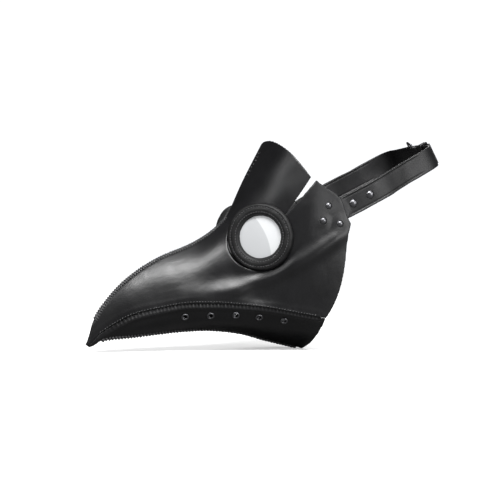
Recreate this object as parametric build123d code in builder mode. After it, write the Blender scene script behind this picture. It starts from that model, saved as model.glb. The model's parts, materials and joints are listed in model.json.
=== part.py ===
"""Plague doctor mask: a stitched leather beak mask with round lenses and a buckled head strap.

Frame: +Z up, the beak points along -Y, +X is the wearer's left. X = 0 is the plane of symmetry,
Z = 0 is the height of the eye centres and Y = 0 is the rear corner of the cheek.
"""
import os
from math import ceil, cos, radians, sin

from build123d import *

# Leather and hardware sizes, mm
LEATHER = 2.0
SEAM_GAP = 0.4
LAYER_GAP = 0.15
CORD_RADIUS = 1.2
FINE_CORD_RADIUS = 0.45
CORD_LIFT = 1.6
FINE_CORD_LIFT = 0.9

# Eye ring and lens
EYE_CENTRE = (42.0, -99.0, 0.0)
EYE_YAW = 36.0
RING_RADIUS = 38.5
RING_BORE = 25.2
RING_PROUD = 4.5
RING_ROUND = 3.0
ROW_INSET = 0.8
RING_DEPTH = 12.5
LENS_RADIUS = 28.0
LENS_THICKNESS = 2.2
LENS_BACK = -3.2
SEAT_GAP = 0.1
RETAINER_DEPTH = 2.4

# Eyelets: five air holes a side, placed by side-view position (y, z)
EYELET_RADIUS = 4.3
EYELET_BORE = 2.3
EYELET_SLEEVE = 2.9
EYELET_FLANGE = 0.9
EYELET_PLACES = [(-182.0, -91.0), (-153.0, -90.0), (-125.0, -89.5), (-99.0, -92.0), (-71.5, -96.0)]

# Cheek rivets, placed by side-view position (y, z)
CHEEK_RIVET_RADIUS = 4.0
RIVET_HEIGHT = 2.2
CAP_THICKNESS = 1.0
CHEEK_RIVET_PLACES = [(-27.0, 35.6), (-33.3, 18.4), (-13.4, 15.0)]

# Head strap: a band in a plane that rises toward the back
STRAP_WIDTH = 26.0
STRAP_RISE = 28.0
FLEX_POINT = (-14.0, 29.0)
STRAP_X = 70.8
STRAP_START_RUN = 10.0
ANCHOR_END_RADIUS = 13.2
ANCHOR_NECK = 3.0
ANCHOR_BASE = 26.0
ANCHOR_WIDTH = 35.0
LINING_LENGTH = 44.0
STRAP_START_RADIUS = 13.5
STRAP_RIVET_RADIUS = 4.75
STRAP_RIVET_RUNS = (20.3, 42.5)
SHANK_RADIUS = 1.5
LOOP_BACK = 146.0
STRAIGHT_END = 48.0

# Buckle
BAR_RADIUS = 1.5
BUCKLE_HALF_WIDTH = 16.5
PRONG_RADIUS = 1.1
PRONG_CLEARANCE = 0.5
PRONG_LEAN = 0.6
PRONG_OVERHANG = 3.0
PRONG_LOOP_HALF = 1.3
HINGE_BAR_X = 10.0
FAR_BAR_X = -14.0
FAR_BAR_RUN = 154.5
FOLD_RADIUS = 3.5
FOLD_END_X = 22.0
FOLD_RIVET_X = 18.0
FOLD_RIVET_RADIUS = 3.0
PRONG_SLOT = 3.0
PRONG_HOLE_X = 11.0
PRONG_HOLE_LENGTH = 17.0
PRONG_KNEE_X = 5.0
PRONG_KNEE_RUN = 155.4
TONGUE_RUN = 151.0
TONGUE_TIP = 47.0
KEEPER_X = 33.0
KEEPER_WIDTH = 9.0
KEEPER_WALL = 1.5
KEEPER_GAP = 0.4

# Cross-sections of the left half, from beak tip to behind the cheek. Each has the ridge point and the
# bottom seam point as (y, z), then (x, z) points down the side: near ridge, shoulder, middle,
# jaw seam and under the jaw.
SECTIONS = [
    ((-293.5, -121.0), (-288.0, -124.5),
     [(1.0, -121.4), (1.7, -122.0), (2.1, -122.7), (2.2, -123.3), (1.3, -124.1)]),
    ((-285.5, -97.0), (-277.0, -119.5),
     [(1.6, -99.5), (3.0, -103.0), (4.2, -107.5), (4.8, -112.0), (3.2, -117.0)]),
    ((-273.0, -76.0), (-263.0, -116.0),
     [(2.6, -80.0), (4.6, -85.5), (6.6, -93.0), (7.6, -102.0), (5.0, -111.0)]),
    ((-241.0, -44.0), (-241.0, -114.5),
     [(4.2, -50.0), (8.2, -58.0), (12.5, -71.0), (15.0, -88.0), (10.0, -104.0)]),
    ((-205.0, -22.0), (-209.0, -111.0),
     [(5.2, -29.0), (10.5, -38.0), (17.5, -56.0), (22.0, -80.0), (15.0, -98.0)]),
    ((-170.0, -8.0), (-178.0, -108.0),
     [(6.0, -15.0), (13.0, -25.0), (23.0, -46.0), (28.5, -75.5), (19.0, -95.0)]),
    ((-142.0, 8.0), (-150.0, -107.0),
     [(7.5, 2.0), (16.0, -7.0), (27.0, -32.0), (34.0, -75.5), (22.0, -96.0)]),
    ((-124.0, 26.0), (-128.0, -108.5),
     [(12.0, 19.0), (23.0, 4.0), (33.0, -25.0), (39.5, -77.0), (25.0, -98.0)]),
    ((-103.0, 64.5), (-105.0, -112.0),
     [(20.0, 57.0), (35.0, 33.0), (40.5, -10.0), (46.0, -79.0), (28.0, -101.0)]),
    ((-80.0, 106.0), (-80.0, -119.0),
     [(28.0, 96.0), (50.0, 62.0), (56.0, -5.0), (54.5, -83.0), (32.0, -106.0)]),
    ((-50.0, 160.0), (-50.0, -126.5),
     [(34.0, 146.0), (66.0, 70.0), (70.0, -2.0), (61.0, -89.0), (36.0, -112.0)]),
    ((-20.0, 214.0), (-20.0, -134.0),
     [(38.0, 196.0), (72.0, 70.0), (74.0, -2.0), (67.5, -94.0), (40.0, -118.0)]),
    ((10.0, 268.0), (10.0, -142.0),
     [(40.0, 247.0), (75.0, 70.0), (75.5, -2.0), (71.0, -98.0), (42.5, -122.0)]),
]
JAW_POINT = 3
ROW_SPACING = 15.0
FIRST_HOLLOW_Y = -274.0
FIRST_CHEEK_Y = -90.0
BRIDGE_Y = -122.0
THREAD_FRONT_Y = -286.0
THROAT_END_Y = -30.0
BROW_THREAD_Y = (-104.0, -79.0)
CUT_PAST = 1.0

# Side-view outlines as (y, z)
REAR_EDGE = [(-27.0, -93.0), (-11.0, -56.0), (-6.0, -25.0), (-4.0, 3.0)]
CHEEK_CORNER = (0.0, 15.0)
CHEEK_TOP_EDGE = [(-7.0, 33.0), (-14.0, 46.0), (-22.0, 52.0), (-40.0, 65.0)]
SLIT_FOOT = (-76.0, 23.0)
BROW_SLIT_TOP = (-45.5, 69.0)
BROW_APEX = (-76.0, 116.0)
EYE_MEETING = (-99.0, -2.0)
BRIDGE_CUT = (-140.0, 23.6)
THROAT_REAR = (-31.0, -140.0)
FAR_FRONT = -320.0
FAR_TOP = (FAR_FRONT, 60.0)
FAR_SIDE = 110.0


def section_points(section):
    """All the points of one section in space: ridge, side points, bottom seam."""
    (top_y, top_z), (low_y, low_z), side = section
    points = [Vector(0, top_y, top_z)]
    for x, z in side:
        share = (top_z - z) / (top_z - low_z)
        points.append(Vector(x, top_y + (low_y - top_y) * share, z))
    points.append(Vector(0, low_y, low_z))
    return points


def slopes(places, values):
    """Slopes at each place that never let a curve swing past the values it joins."""
    steps = [(b - a) / (q - p) for a, b, p, q in zip(values, values[1:], places, places[1:])]
    middle = [2 * a * b / (a + b) if a * b > 0 else 0.0 for a, b in zip(steps, steps[1:])]
    return [steps[0]] + middle + [steps[-1]]


def smooth_value(places, values, place):
    """The value at one place on a smooth curve through all the values."""
    row = max(index for index in range(len(places) - 1) if places[index] <= place)
    span = places[row + 1] - places[row]
    share = (place - places[row]) / span
    grade = slopes(places, values)
    rest = 1 - share
    ends = values[row] * (1 + 2 * share) * rest**2 + values[row + 1] * (3 - 2 * share) * share**2
    return ends + span * share * rest * (grade[row] * rest - grade[row + 1] * share)


def filled_rows():
    """The given sections with more between them, so that the loft keeps close to their lines."""
    places = [section[0][0] for section in SECTIONS]
    numbers = [[*top, *low, *(value for pair in side for value in pair)] for top, low, side in SECTIONS]
    rows = []
    for start, end in zip(places, places[1:]):
        count = ceil((end - start) / ROW_SPACING)
        rows += [start + (end - start) * step / count for step in range(count)]
    rows.append(places[-1])
    filled = []
    for place in rows:
        row = [smooth_value(places, column, place) for column in zip(*numbers)]
        side = [(row[index], row[index + 1]) for index in range(4, len(row), 2)]
        filled.append(((row[0], row[1]), (row[2], row[3]), side))
    return filled


OUTER_POINTS = [section_points(section) for section in filled_rows()]


def first_row(y):
    """The number of the first row whose ridge point lies behind y."""
    return next(row for row, points in enumerate(OUTER_POINTS) if points[0].Y > y)


def inset_points(row, depth):
    """One section's points moved inward, in its own plane, until the leather is depth thick."""
    points = OUTER_POINTS[row]
    ahead = OUTER_POINTS[min(row + 1, len(OUTER_POINTS) - 1)]
    behind = OUTER_POINTS[row - 1]
    last = len(points) - 1
    plumb = (points[0] - points[last]).normalized()
    moved = []
    for place, point in enumerate(points):
        along = (points[min(place + 1, last)] - points[max(place - 1, 0)]).normalized()
        lengthwise = ahead[place] - behind[place]
        normal = lengthwise.cross(along).normalized()
        outward = Vector(1, 0, 0).cross(plumb).cross(along).normalized()
        if place == 0:
            outward = plumb
        if place == last:
            outward = -plumb
        if normal.dot(outward) < 0:
            normal = -normal
        moved.append(point - outward * (depth / normal.dot(outward)))
    return moved


def section_face(points, past_middle):
    """A closed half-section: two smooth runs that meet at the jaw seam, closed past_middle beyond X = 0."""
    corner = JAW_POINT + 1
    upper = Spline(*points[: corner + 1])
    lower = Spline(*points[corner:])
    beyond = Vector(-past_middle, 0, 0)
    if past_middle:
        closing = Polyline(points[-1], points[-1] + beyond, points[0] + beyond, points[0])
    else:
        closing = Line(points[-1], points[0])
    return make_face(Curve() + [upper, lower, closing])


def hollow_block(depth, front_y):
    """A block depth under the leather's outside, reaching past the half's flat sides to cut it cleanly."""
    rows = [inset_points(row, depth) for row in range(first_row(front_y), len(OUTER_POINTS))]
    rows[-1] = [point + Vector(0, CUT_PAST, 0) for point in rows[-1]]
    return loft([section_face(row, CUT_PAST) for row in rows])


def side_outline(*edges):
    """A face drawn in the side view, on the plane X = 0."""
    return make_face(Curve() + list(edges))


def on_side(places):
    """Side-view (y, z) pairs as points on the plane X = 0."""
    return [Vector(0, y, z) for y, z in places]


def prism(outline):
    """A side-view outline drawn out sideways from the middle."""
    return Solid.extrude(outline.face(), Vector(FAR_SIDE, 0, 0))


def panel(outline):
    """The part of the leather skin that lies inside a side-view outline."""
    return (half_block & prism(outline)) - inside_block


def surface_plane(place):
    """The plane that touches the leather's outside at a side-view (y, z) place, facing outward."""
    y, z = place
    hits = []
    for face in half_block.faces():
        hits += face.find_intersection_points(Axis((0, y, z), (1, 0, 0)))
    point, normal = max(hits, key=lambda hit: hit[0].X)
    if normal.X < 0:
        normal = -normal
    return Plane(origin=point, z_dir=normal)


def disc(plane, start, end, radius):
    """A round plug between two heights above a plane."""
    return Solid.make_cylinder(radius, end - start, plane.offset(start))


def tube(plane, start, end, outer, inner):
    """A round sleeve between two heights above a plane."""
    return disc(plane, start, end, outer) - disc(plane, start - 1, end + 1, inner)


def domed(plane, height, radius):
    """A domed rivet head standing on a plane."""
    head = disc(plane, 0, height, radius)
    top = head.faces().filter_by(GeomType.PLANE).sort_by(Axis(plane.origin, plane.z_dir))[-1]
    return head.fillet(height * 0.85, top.edges())


def ball(point, radius):
    return Solid.make_sphere(radius, Plane(origin=point), -90, 90, 360)


def cord(points, radius):
    """A round thread laid through a run of points."""
    path = Edge.make_spline(points)
    start = Plane(origin=path @ 0, z_dir=path % 0)
    return Solid.sweep(Wire.make_circle(radius, start), path)


def rod(start, end, radius):
    """A straight round bar between two points."""
    along = end - start
    return Solid.make_cylinder(radius, along.length, Plane(origin=start, z_dir=along.normalized()))


def save(builder, name):
    builder.part.label = name
    export_step(builder.part, f"parts/{name}.step")


def save_mirrored(builder, name):
    """Writes a left piece, and its mirror image as the right piece."""
    save(builder, f"left_{name}")
    with BuildPart() as right:
        mirror(builder.part, about=Plane.YZ)
    save(right, f"right_{name}")


os.makedirs("parts", exist_ok=True)

# The left half as nested blocks: outside of the leather, inside of it, and the anchor layer's two faces
half_block = loft([section_face(row, 0) for row in OUTER_POINTS])
half_block = loft([section_face(row, 0) for row in OUTER_POINTS])
inside_block = hollow_block(LEATHER, FIRST_HOLLOW_Y)
anchor_outer = hollow_block(LEATHER + LAYER_GAP, FIRST_CHEEK_Y)
anchor_inner = hollow_block(2 * LEATHER + LAYER_GAP, FIRST_CHEEK_Y)

# Placement planes
eye_plane = Plane(origin=EYE_CENTRE, z_dir=(cos(radians(EYE_YAW)), -sin(radians(EYE_YAW)), 0))
eye_axis = Axis(eye_plane.origin, eye_plane.z_dir)
eyelet_planes = [surface_plane(place) for place in EYELET_PLACES]
cheek_planes = [surface_plane(place) for place in CHEEK_RIVET_PLACES]
rise = radians(STRAP_RISE)
flex_y, flex_z = FLEX_POINT
strap_plane = Plane(origin=(0, flex_y, flex_z), x_dir=(1, 0, 0), z_dir=(0, -sin(rise), cos(rise)))

# Side-view lines that divide the skin into panels
jaw_places = [(row[JAW_POINT + 1].Y, row[JAW_POINT + 1].Z) for row in OUTER_POINTS]
jaw_places = [(FAR_FRONT, jaw_places[0][1])] + [place for place in jaw_places if place[0] < REAR_EDGE[0][0]]
jaw_places.append(REAR_EDGE[0])
jaw_line = Spline(*on_side(jaw_places))
rear_line = Spline(*on_side(REAR_EDGE))
cheek_line = Spline(*on_side([CHEEK_CORNER] + CHEEK_TOP_EDGE))
over_top = [CHEEK_TOP_EDGE[-1], SLIT_FOOT, EYE_MEETING, BRIDGE_CUT, FAR_TOP, jaw_places[0]]
under_jaw = [REAR_EDGE[0], THROAT_REAR, (FAR_FRONT, THROAT_REAR[1]), jaw_places[0]]
brow_front = (BRIDGE_CUT[0], BROW_APEX[1])
around_brow = [BRIDGE_CUT, EYE_MEETING, SLIT_FOOT, BROW_SLIT_TOP, BROW_APEX, brow_front, BRIDGE_CUT]
corner_line = Line(*on_side([REAR_EDGE[-1], CHEEK_CORNER]))
upper_outline = side_outline(jaw_line, rear_line, corner_line, cheek_line, Polyline(*on_side(over_top)))
lower_outline = side_outline(jaw_line, Polyline(*on_side(under_jaw)))
brow_outline = side_outline(Polyline(*on_side(around_brow)))

# Holes that the hardware needs in the leather
ring_hole = disc(eye_plane, -FAR_SIDE / 4, FAR_SIDE / 4, RING_RADIUS)

# Upper panel: ridge to jaw seam, from the beak tip to the cheek
with BuildPart() as left_upper_panel:
    add(panel(upper_outline))
    add(ring_hole, mode=Mode.SUBTRACT)
    for plane in cheek_planes:
        add(disc(plane, -2 * LEATHER, LEATHER, SHANK_RADIUS), mode=Mode.SUBTRACT)
        add(disc(plane, 0, LEATHER, CHEEK_RIVET_RADIUS), mode=Mode.SUBTRACT)
    split(bisect_by=Plane.YZ.offset(SEAM_GAP / 2), keep=Keep.TOP)
save_mirrored(left_upper_panel, "upper_panel")

# Lower panel: jaw seam to the bottom seam, with the air holes
with BuildPart() as left_lower_panel:
    add(panel(lower_outline))
    for plane in eyelet_planes:
        add(disc(plane, -3 * LEATHER, LEATHER, EYELET_SLEEVE), mode=Mode.SUBTRACT)
        add(disc(plane, 0, LEATHER, EYELET_RADIUS), mode=Mode.SUBTRACT)
        add(disc(plane, -3 * LEATHER, -LEATHER, EYELET_RADIUS), mode=Mode.SUBTRACT)
    split(bisect_by=Plane.YZ.offset(SEAM_GAP / 2), keep=Keep.TOP)
save_mirrored(left_lower_panel, "lower_panel")

# Brow panel, one piece across the forehead
with BuildPart() as brow_panel:
    add(panel(brow_outline))
    add(ring_hole, mode=Mode.SUBTRACT)
    mirror(about=Plane.YZ)
save(brow_panel, "brow_panel")

# Eye ring: a thick collar with a rounded face and a stepped seat for the lens
ring_back = RING_PROUD - RING_DEPTH
lens_front = LENS_BACK + LENS_THICKNESS
with BuildPart() as left_eye_ring:
    add(disc(eye_plane, ring_back, RING_PROUD, RING_RADIUS))
    add(disc(eye_plane, ring_back, RING_PROUD, RING_BORE), mode=Mode.SUBTRACT)
    add(disc(eye_plane, ring_back, lens_front, LENS_RADIUS + SEAT_GAP), mode=Mode.SUBTRACT)
    front_edges = left_eye_ring.faces().sort_by(eye_axis)[-1].edges().sort_by(SortBy.LENGTH)
    fillet(front_edges[-1], RING_ROUND)
    fillet(left_eye_ring.faces().sort_by(eye_axis)[-1].edges().sort_by(SortBy.LENGTH)[0], RING_ROUND / 2)
save_mirrored(left_eye_ring, "eye_ring")

with BuildPart() as left_lens:
    add(disc(eye_plane, LENS_BACK, lens_front, LENS_RADIUS))
save_mirrored(left_lens, "lens")

with BuildPart() as left_lens_retainer:
    add(tube(eye_plane, LENS_BACK - RETAINER_DEPTH, LENS_BACK, LENS_RADIUS, RING_BORE))
save_mirrored(left_lens_retainer, "lens_retainer")

# Two rows of stitching lie on the face of each eye ring
ring_rows = {"outer": RING_RADIUS - RING_ROUND - ROW_INSET, "inner": RING_BORE + RING_ROUND / 2 + ROW_INSET}
for row_name, row_radius in ring_rows.items():
    with BuildPart() as ring_thread:
        add(Solid.make_torus(row_radius, FINE_CORD_RADIUS, eye_plane.offset(RING_PROUD + FINE_CORD_RADIUS)))
    save_mirrored(ring_thread, f"ring_{row_name}_thread")

# Eyelets with a washer clinched on the inside
with BuildPart() as left_eyelets:
    for plane in eyelet_planes:
        add(tube(plane, 0, EYELET_FLANGE, EYELET_RADIUS, EYELET_BORE))
        add(tube(plane, -LEATHER - EYELET_FLANGE, 0, EYELET_SLEEVE, EYELET_BORE))
save_mirrored(left_eyelets, "eyelets")

with BuildPart() as left_eyelet_washers:
    for plane in eyelet_planes:
        add(tube(plane, -LEATHER - EYELET_FLANGE, -LEATHER, EYELET_RADIUS, EYELET_SLEEVE))
save_mirrored(left_eyelet_washers, "eyelet_washers")

# Anchor tab: the leather layer behind the cheek that carries the strap
with BuildSketch(Plane.YZ) as anchor_outline:
    with Locations(FLEX_POINT):
        Circle(ANCHOR_END_RADIUS)
    with Locations(Location(FLEX_POINT) * Rot(0, 0, STRAP_RISE) * Pos(-ANCHOR_NECK - ANCHOR_BASE / 2, 0, 0)):
        Rectangle(ANCHOR_BASE, ANCHOR_WIDTH)
with BuildPart() as left_strap_anchor:
    extrude(anchor_outline.sketch, amount=FAR_SIDE, dir=(1, 0, 0))
    add(anchor_outer, mode=Mode.INTERSECT)
    add(anchor_inner, mode=Mode.SUBTRACT)
    for plane in cheek_planes:
        add(disc(plane, -4 * LEATHER, LEATHER, SHANK_RADIUS), mode=Mode.SUBTRACT)
        add(disc(plane, -4 * LEATHER, -2 * LEATHER - LAYER_GAP, CHEEK_RIVET_RADIUS), mode=Mode.SUBTRACT)
save_mirrored(left_strap_anchor, "strap_anchor")

cheek_grip = 2 * LEATHER + LAYER_GAP
with BuildPart() as left_cheek_rivets:
    for plane in cheek_planes:
        add(domed(plane, RIVET_HEIGHT, CHEEK_RIVET_RADIUS))
        add(disc(plane, -cheek_grip, 0, SHANK_RADIUS))
save_mirrored(left_cheek_rivets, "cheek_rivets")

with BuildPart() as left_cheek_rivet_caps:
    for plane in cheek_planes:
        add(disc(plane, -cheek_grip - CAP_THICKNESS, -cheek_grip, CHEEK_RIVET_RADIUS))
save_mirrored(left_cheek_rivet_caps, "cheek_rivet_caps")

# Head strap. Points in the strap plane are (x, run), run being the distance back from the flex line.
# The strap bows out past the cheek, then turns in behind the head.
side_route = [(STRAP_X, STRAP_START_RUN), (77, 55), (68, 108), (STRAIGHT_END, LOOP_BACK)]
left_side = Spline(*side_route, tangents=[(0.1, 1), (-1, 0)])
left_run = Curve() + [left_side, Line((STRAIGHT_END, LOOP_BACK), (HINGE_BAR_X, LOOP_BACK))]
right_side = Spline(*[(-x, run) for x, run in side_route], tangents=[(-0.1, 1), (1, 0)])
rise_over = Spline((-STRAIGHT_END, LOOP_BACK), (-22, 148.6), (0, TONGUE_RUN), tangents=[(1, 0), (1, 0)])
right_run = Curve() + [right_side, rise_over, Line((0, TONGUE_RUN), (TONGUE_TIP, TONGUE_RUN))]
start_bore = disc(Plane.YZ, -FAR_SIDE, FAR_SIDE, STRAP_START_RADIUS).moved(Location((0, flex_y, flex_z)))
rivet_spots = []
for run in STRAP_RIVET_RUNS:
    spot = left_side.location_at(run - STRAP_START_RUN, position_mode=PositionMode.LENGTH).position
    ahead = left_side.location_at(run - STRAP_START_RUN + 1, position_mode=PositionMode.LENGTH).position
    along = (ahead - spot).normalized()
    outward = Vector(along.Y, -along.X, 0)
    face_point = strap_plane.from_local_coords(spot + outward * (LEATHER / 2))
    out_point = strap_plane.from_local_coords(spot + outward * LEATHER)
    rivet_spots.append(Plane(origin=face_point, z_dir=(out_point - face_point).normalized()))


def band(path, width):
    """A strip of leather stood on edge along a path in the strap plane."""
    strips = [Solid.extrude(face, Vector(0, 0, width)) for face in trace(path, LEATHER).faces()]
    return [strap_plane.from_local_coords(strip.moved(Location((0, 0, -width / 2)))) for strip in strips]


def strap_box(x, run, size_x, size_run, size_w):
    """A block in the strap plane's own axes, centred on (x, run)."""
    corner = strap_plane.from_local_coords(Vector(x - size_x / 2, run - size_run / 2, -size_w / 2))
    return Solid.make_box(size_x, size_run, size_w, Plane(corner, strap_plane.x_dir, strap_plane.z_dir))


def cross_bar(x, run, radius, half_length):
    """A bar lying across the strap."""
    end = strap_plane.from_local_coords(Vector(x, run, -half_length))
    return Solid.make_cylinder(radius, 2 * half_length, Plane(origin=end, z_dir=strap_plane.z_dir))


lap = LEATHER + LAYER_GAP
strap_drill = [disc(plane, -4 * LEATHER, LEATHER, SHANK_RADIUS) for plane in rivet_spots]
strap_face_clear = [disc(plane, 0, LEATHER, STRAP_RIVET_RADIUS) for plane in rivet_spots]
lining_clear = [disc(plane, -4 * LEATHER, -LEATHER - lap, STRAP_RIVET_RADIUS) for plane in rivet_spots]
strap_drill_right = [tool.mirror(Plane.YZ) for tool in strap_drill]
strap_face_clear_right = [tool.mirror(Plane.YZ) for tool in strap_face_clear]

fold_rivet_plane = Plane(
    origin=strap_plane.from_local_coords(Vector(FOLD_RIVET_X, LOOP_BACK + LEATHER / 2, 0)),
    z_dir=(0, cos(rise), sin(rise)),
)
left_band = band(left_run, STRAP_WIDTH)
right_band = band(right_run, STRAP_WIDTH)
lining_shift = Location((-lap, 0, 0))
lining_band = [strip.moved(lining_shift) for strip in band(left_side, STRAP_WIDTH - 2)]
fold_middle = (FOLD_END_X + HINGE_BAR_X) / 2
with BuildPart() as left_strap:
    add(left_band)
    add(cross_bar(HINGE_BAR_X, LOOP_BACK, FOLD_RADIUS, STRAP_WIDTH / 2))
    add(strap_box(fold_middle, LOOP_BACK - LEATHER, FOLD_END_X - HINGE_BAR_X, LEATHER, STRAP_WIDTH))
    add(cross_bar(HINGE_BAR_X, LOOP_BACK, BAR_RADIUS + SEAT_GAP, STRAP_WIDTH), mode=Mode.SUBTRACT)
    add(strap_box(HINGE_BAR_X, LOOP_BACK, 4 * FOLD_RADIUS, 4 * FOLD_RADIUS, PRONG_SLOT), mode=Mode.SUBTRACT)
    add(disc(fold_rivet_plane, -4 * LEATHER, LEATHER, SHANK_RADIUS), mode=Mode.SUBTRACT)
    add(start_bore, mode=Mode.SUBTRACT)
    for tool in strap_drill + strap_face_clear:
        add(tool, mode=Mode.SUBTRACT)
save(left_strap, "left_strap")

with BuildPart() as right_strap:
    add(right_band)
    add(start_bore, mode=Mode.SUBTRACT)
    add(strap_box(PRONG_HOLE_X, TONGUE_RUN, PRONG_HOLE_LENGTH, 3 * LEATHER, PRONG_SLOT), mode=Mode.SUBTRACT)
    for tool in strap_drill_right + strap_face_clear_right:
        add(tool, mode=Mode.SUBTRACT)
save(right_strap, "right_strap")

lining_middle = STRAP_START_RUN + LINING_LENGTH / 2
lining_zone = strap_box(STRAP_X, lining_middle, STRAP_WIDTH, LINING_LENGTH, 2 * STRAP_WIDTH)
with BuildPart() as left_strap_lining:
    add(lining_band)
    add(lining_zone, mode=Mode.INTERSECT)
    add(start_bore, mode=Mode.SUBTRACT)
    for tool in strap_drill + lining_clear:
        add(tool, mode=Mode.SUBTRACT)
save_mirrored(left_strap_lining, "strap_lining")

with BuildPart() as left_strap_rivets:
    for plane in rivet_spots:
        add(domed(plane, RIVET_HEIGHT, STRAP_RIVET_RADIUS))
        add(disc(plane, -LEATHER - lap, 0, SHANK_RADIUS))
save_mirrored(left_strap_rivets, "strap_rivets")

with BuildPart() as left_strap_rivet_caps:
    for plane in rivet_spots:
        add(disc(plane, -LEATHER - lap - CAP_THICKNESS, -LEATHER - lap, STRAP_RIVET_RADIUS - 0.5))
save_mirrored(left_strap_rivet_caps, "strap_rivet_caps")

with BuildPart() as buckle_fold_rivet:
    add(disc(fold_rivet_plane, 0, CAP_THICKNESS, FOLD_RIVET_RADIUS))
    add(disc(fold_rivet_plane, -2 * LEATHER - CAP_THICKNESS, 0, SHANK_RADIUS))
    add(disc(fold_rivet_plane, -2 * LEATHER - CAP_THICKNESS, -2 * LEATHER, FOLD_RIVET_RADIUS))
save(buckle_fold_rivet, "buckle_fold_rivet")


def strap_point(x, run, across):
    """A point given in the strap plane's own axes."""
    return strap_plane.from_local_coords(Vector(x, run, across))


# Buckle frame: two bars joined by two rails
with BuildPart() as buckle_frame:
    add(cross_bar(HINGE_BAR_X, LOOP_BACK, BAR_RADIUS, BUCKLE_HALF_WIDTH))
    add(cross_bar(FAR_BAR_X, FAR_BAR_RUN, BAR_RADIUS, BUCKLE_HALF_WIDTH))
    for across in (-BUCKLE_HALF_WIDTH, BUCKLE_HALF_WIDTH):
        hinge_end = strap_point(HINGE_BAR_X, LOOP_BACK, across)
        far_end = strap_point(FAR_BAR_X, FAR_BAR_RUN, across)
        add(rod(hinge_end, far_end, BAR_RADIUS))
        for end in (hinge_end, far_end):
            add(ball(end, BAR_RADIUS))
save(buckle_frame, "buckle_frame")

# Prong: a loop round the hinge bar, a stem up through the strap hole, and a tip over the far bar
over_bar = BAR_RADIUS + PRONG_RADIUS + PRONG_CLEARANCE
prong_root = strap_point(HINGE_BAR_X - PRONG_LEAN, LOOP_BACK + over_bar, 0)
prong_knee = strap_point(PRONG_KNEE_X, PRONG_KNEE_RUN, 0)
prong_tip = strap_point(FAR_BAR_X - PRONG_OVERHANG, FAR_BAR_RUN + over_bar, 0)
with BuildPart() as buckle_prong:
    add(cross_bar(HINGE_BAR_X, LOOP_BACK, BAR_RADIUS + 2 * PRONG_RADIUS, PRONG_LOOP_HALF))
    add(rod(prong_root, prong_knee, PRONG_RADIUS))
    add(ball(prong_knee, PRONG_RADIUS))
    add(rod(prong_knee, prong_tip, PRONG_RADIUS))
    add(cross_bar(HINGE_BAR_X, LOOP_BACK, BAR_RADIUS + SEAT_GAP, STRAP_WIDTH), mode=Mode.SUBTRACT)
save(buckle_prong, "buckle_prong")

# Keeper: a leather loop that holds the strap tip down
keeper_run = (LOOP_BACK + TONGUE_RUN) / 2
keeper_space = TONGUE_RUN - LOOP_BACK + LEATHER + 2 * KEEPER_GAP
keeper_drop = STRAP_WIDTH + 2 * KEEPER_GAP
with BuildPart() as keeper_loop:
    keeper_outside = (keeper_space + 2 * KEEPER_WALL, keeper_drop + 2 * KEEPER_WALL)
    add(strap_box(KEEPER_X, keeper_run, KEEPER_WIDTH, *keeper_outside))
    add(strap_box(KEEPER_X, keeper_run, 2 * KEEPER_WIDTH, keeper_space, keeper_drop), mode=Mode.SUBTRACT)
save(keeper_loop, "keeper_loop")


def lifted(points, lift):
    """Centre-line points moved outward in the side view, square to the run they lie on."""
    moved = []
    for place, point in enumerate(points):
        along = points[min(place + 1, len(points) - 1)] - points[max(place - 1, 0)]
        outward = along.cross(Vector(1, 0, 0)).normalized()
        moved.append(point + outward * lift)
    return moved


# Threads: laid along the ridge, under the beak, down the brow's centre and along each jaw seam
ridge_points = [row[0] for row in OUTER_POINTS[first_row(THREAD_FRONT_Y):first_row(BRIDGE_Y)]]
throat_rows = OUTER_POINTS[first_row(THREAD_FRONT_Y):first_row(THROAT_END_Y)]
bottom_points = [row[-1] for row in throat_rows]
jaw_points = [row[JAW_POINT + 1] + Vector(CORD_LIFT, 0, -CORD_LIFT / 3) for row in throat_rows]
brow_points = [row[0] for row in OUTER_POINTS[first_row(BROW_THREAD_Y[0]):first_row(BROW_THREAD_Y[1])]]
with BuildPart() as ridge_thread:
    add(cord(lifted(ridge_points, -CORD_LIFT), CORD_RADIUS))
save(ridge_thread, "ridge_thread")
with BuildPart() as bottom_thread:
    add(cord(lifted(bottom_points, CORD_LIFT), CORD_RADIUS))
save(bottom_thread, "bottom_thread")
with BuildPart() as brow_thread:
    add(cord(lifted(brow_points, -FINE_CORD_LIFT), FINE_CORD_RADIUS))
save(brow_thread, "brow_thread")
with BuildPart() as left_jaw_thread:
    add(cord(jaw_points, FINE_CORD_RADIUS))
save_mirrored(left_jaw_thread, "jaw_thread")
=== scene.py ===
"""Looks of the plague doctor mask, built on the CAD frame. Units are metres unless a name says mm."""
import json
import math
import random

import bmesh
import bpy
import numpy as np
from mathutils import Matrix, Vector
from mathutils.bvhtree import BVHTree


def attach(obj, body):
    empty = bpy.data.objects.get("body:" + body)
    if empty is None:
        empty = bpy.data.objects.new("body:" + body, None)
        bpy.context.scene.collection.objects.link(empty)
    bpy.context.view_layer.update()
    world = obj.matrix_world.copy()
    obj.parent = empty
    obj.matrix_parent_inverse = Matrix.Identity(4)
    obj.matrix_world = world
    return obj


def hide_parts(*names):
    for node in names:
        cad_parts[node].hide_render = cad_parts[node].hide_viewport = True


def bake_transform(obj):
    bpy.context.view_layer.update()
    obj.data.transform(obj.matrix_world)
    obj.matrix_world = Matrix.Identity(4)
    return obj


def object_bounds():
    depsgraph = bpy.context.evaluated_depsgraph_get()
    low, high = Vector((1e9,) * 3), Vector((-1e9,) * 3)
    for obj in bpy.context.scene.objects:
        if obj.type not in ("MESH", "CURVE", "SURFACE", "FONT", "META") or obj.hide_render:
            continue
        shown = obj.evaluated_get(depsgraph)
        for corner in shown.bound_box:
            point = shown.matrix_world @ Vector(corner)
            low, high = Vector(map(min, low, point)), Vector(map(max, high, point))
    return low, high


MM = 0.001
SEED = 11
random.seed(SEED)

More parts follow.
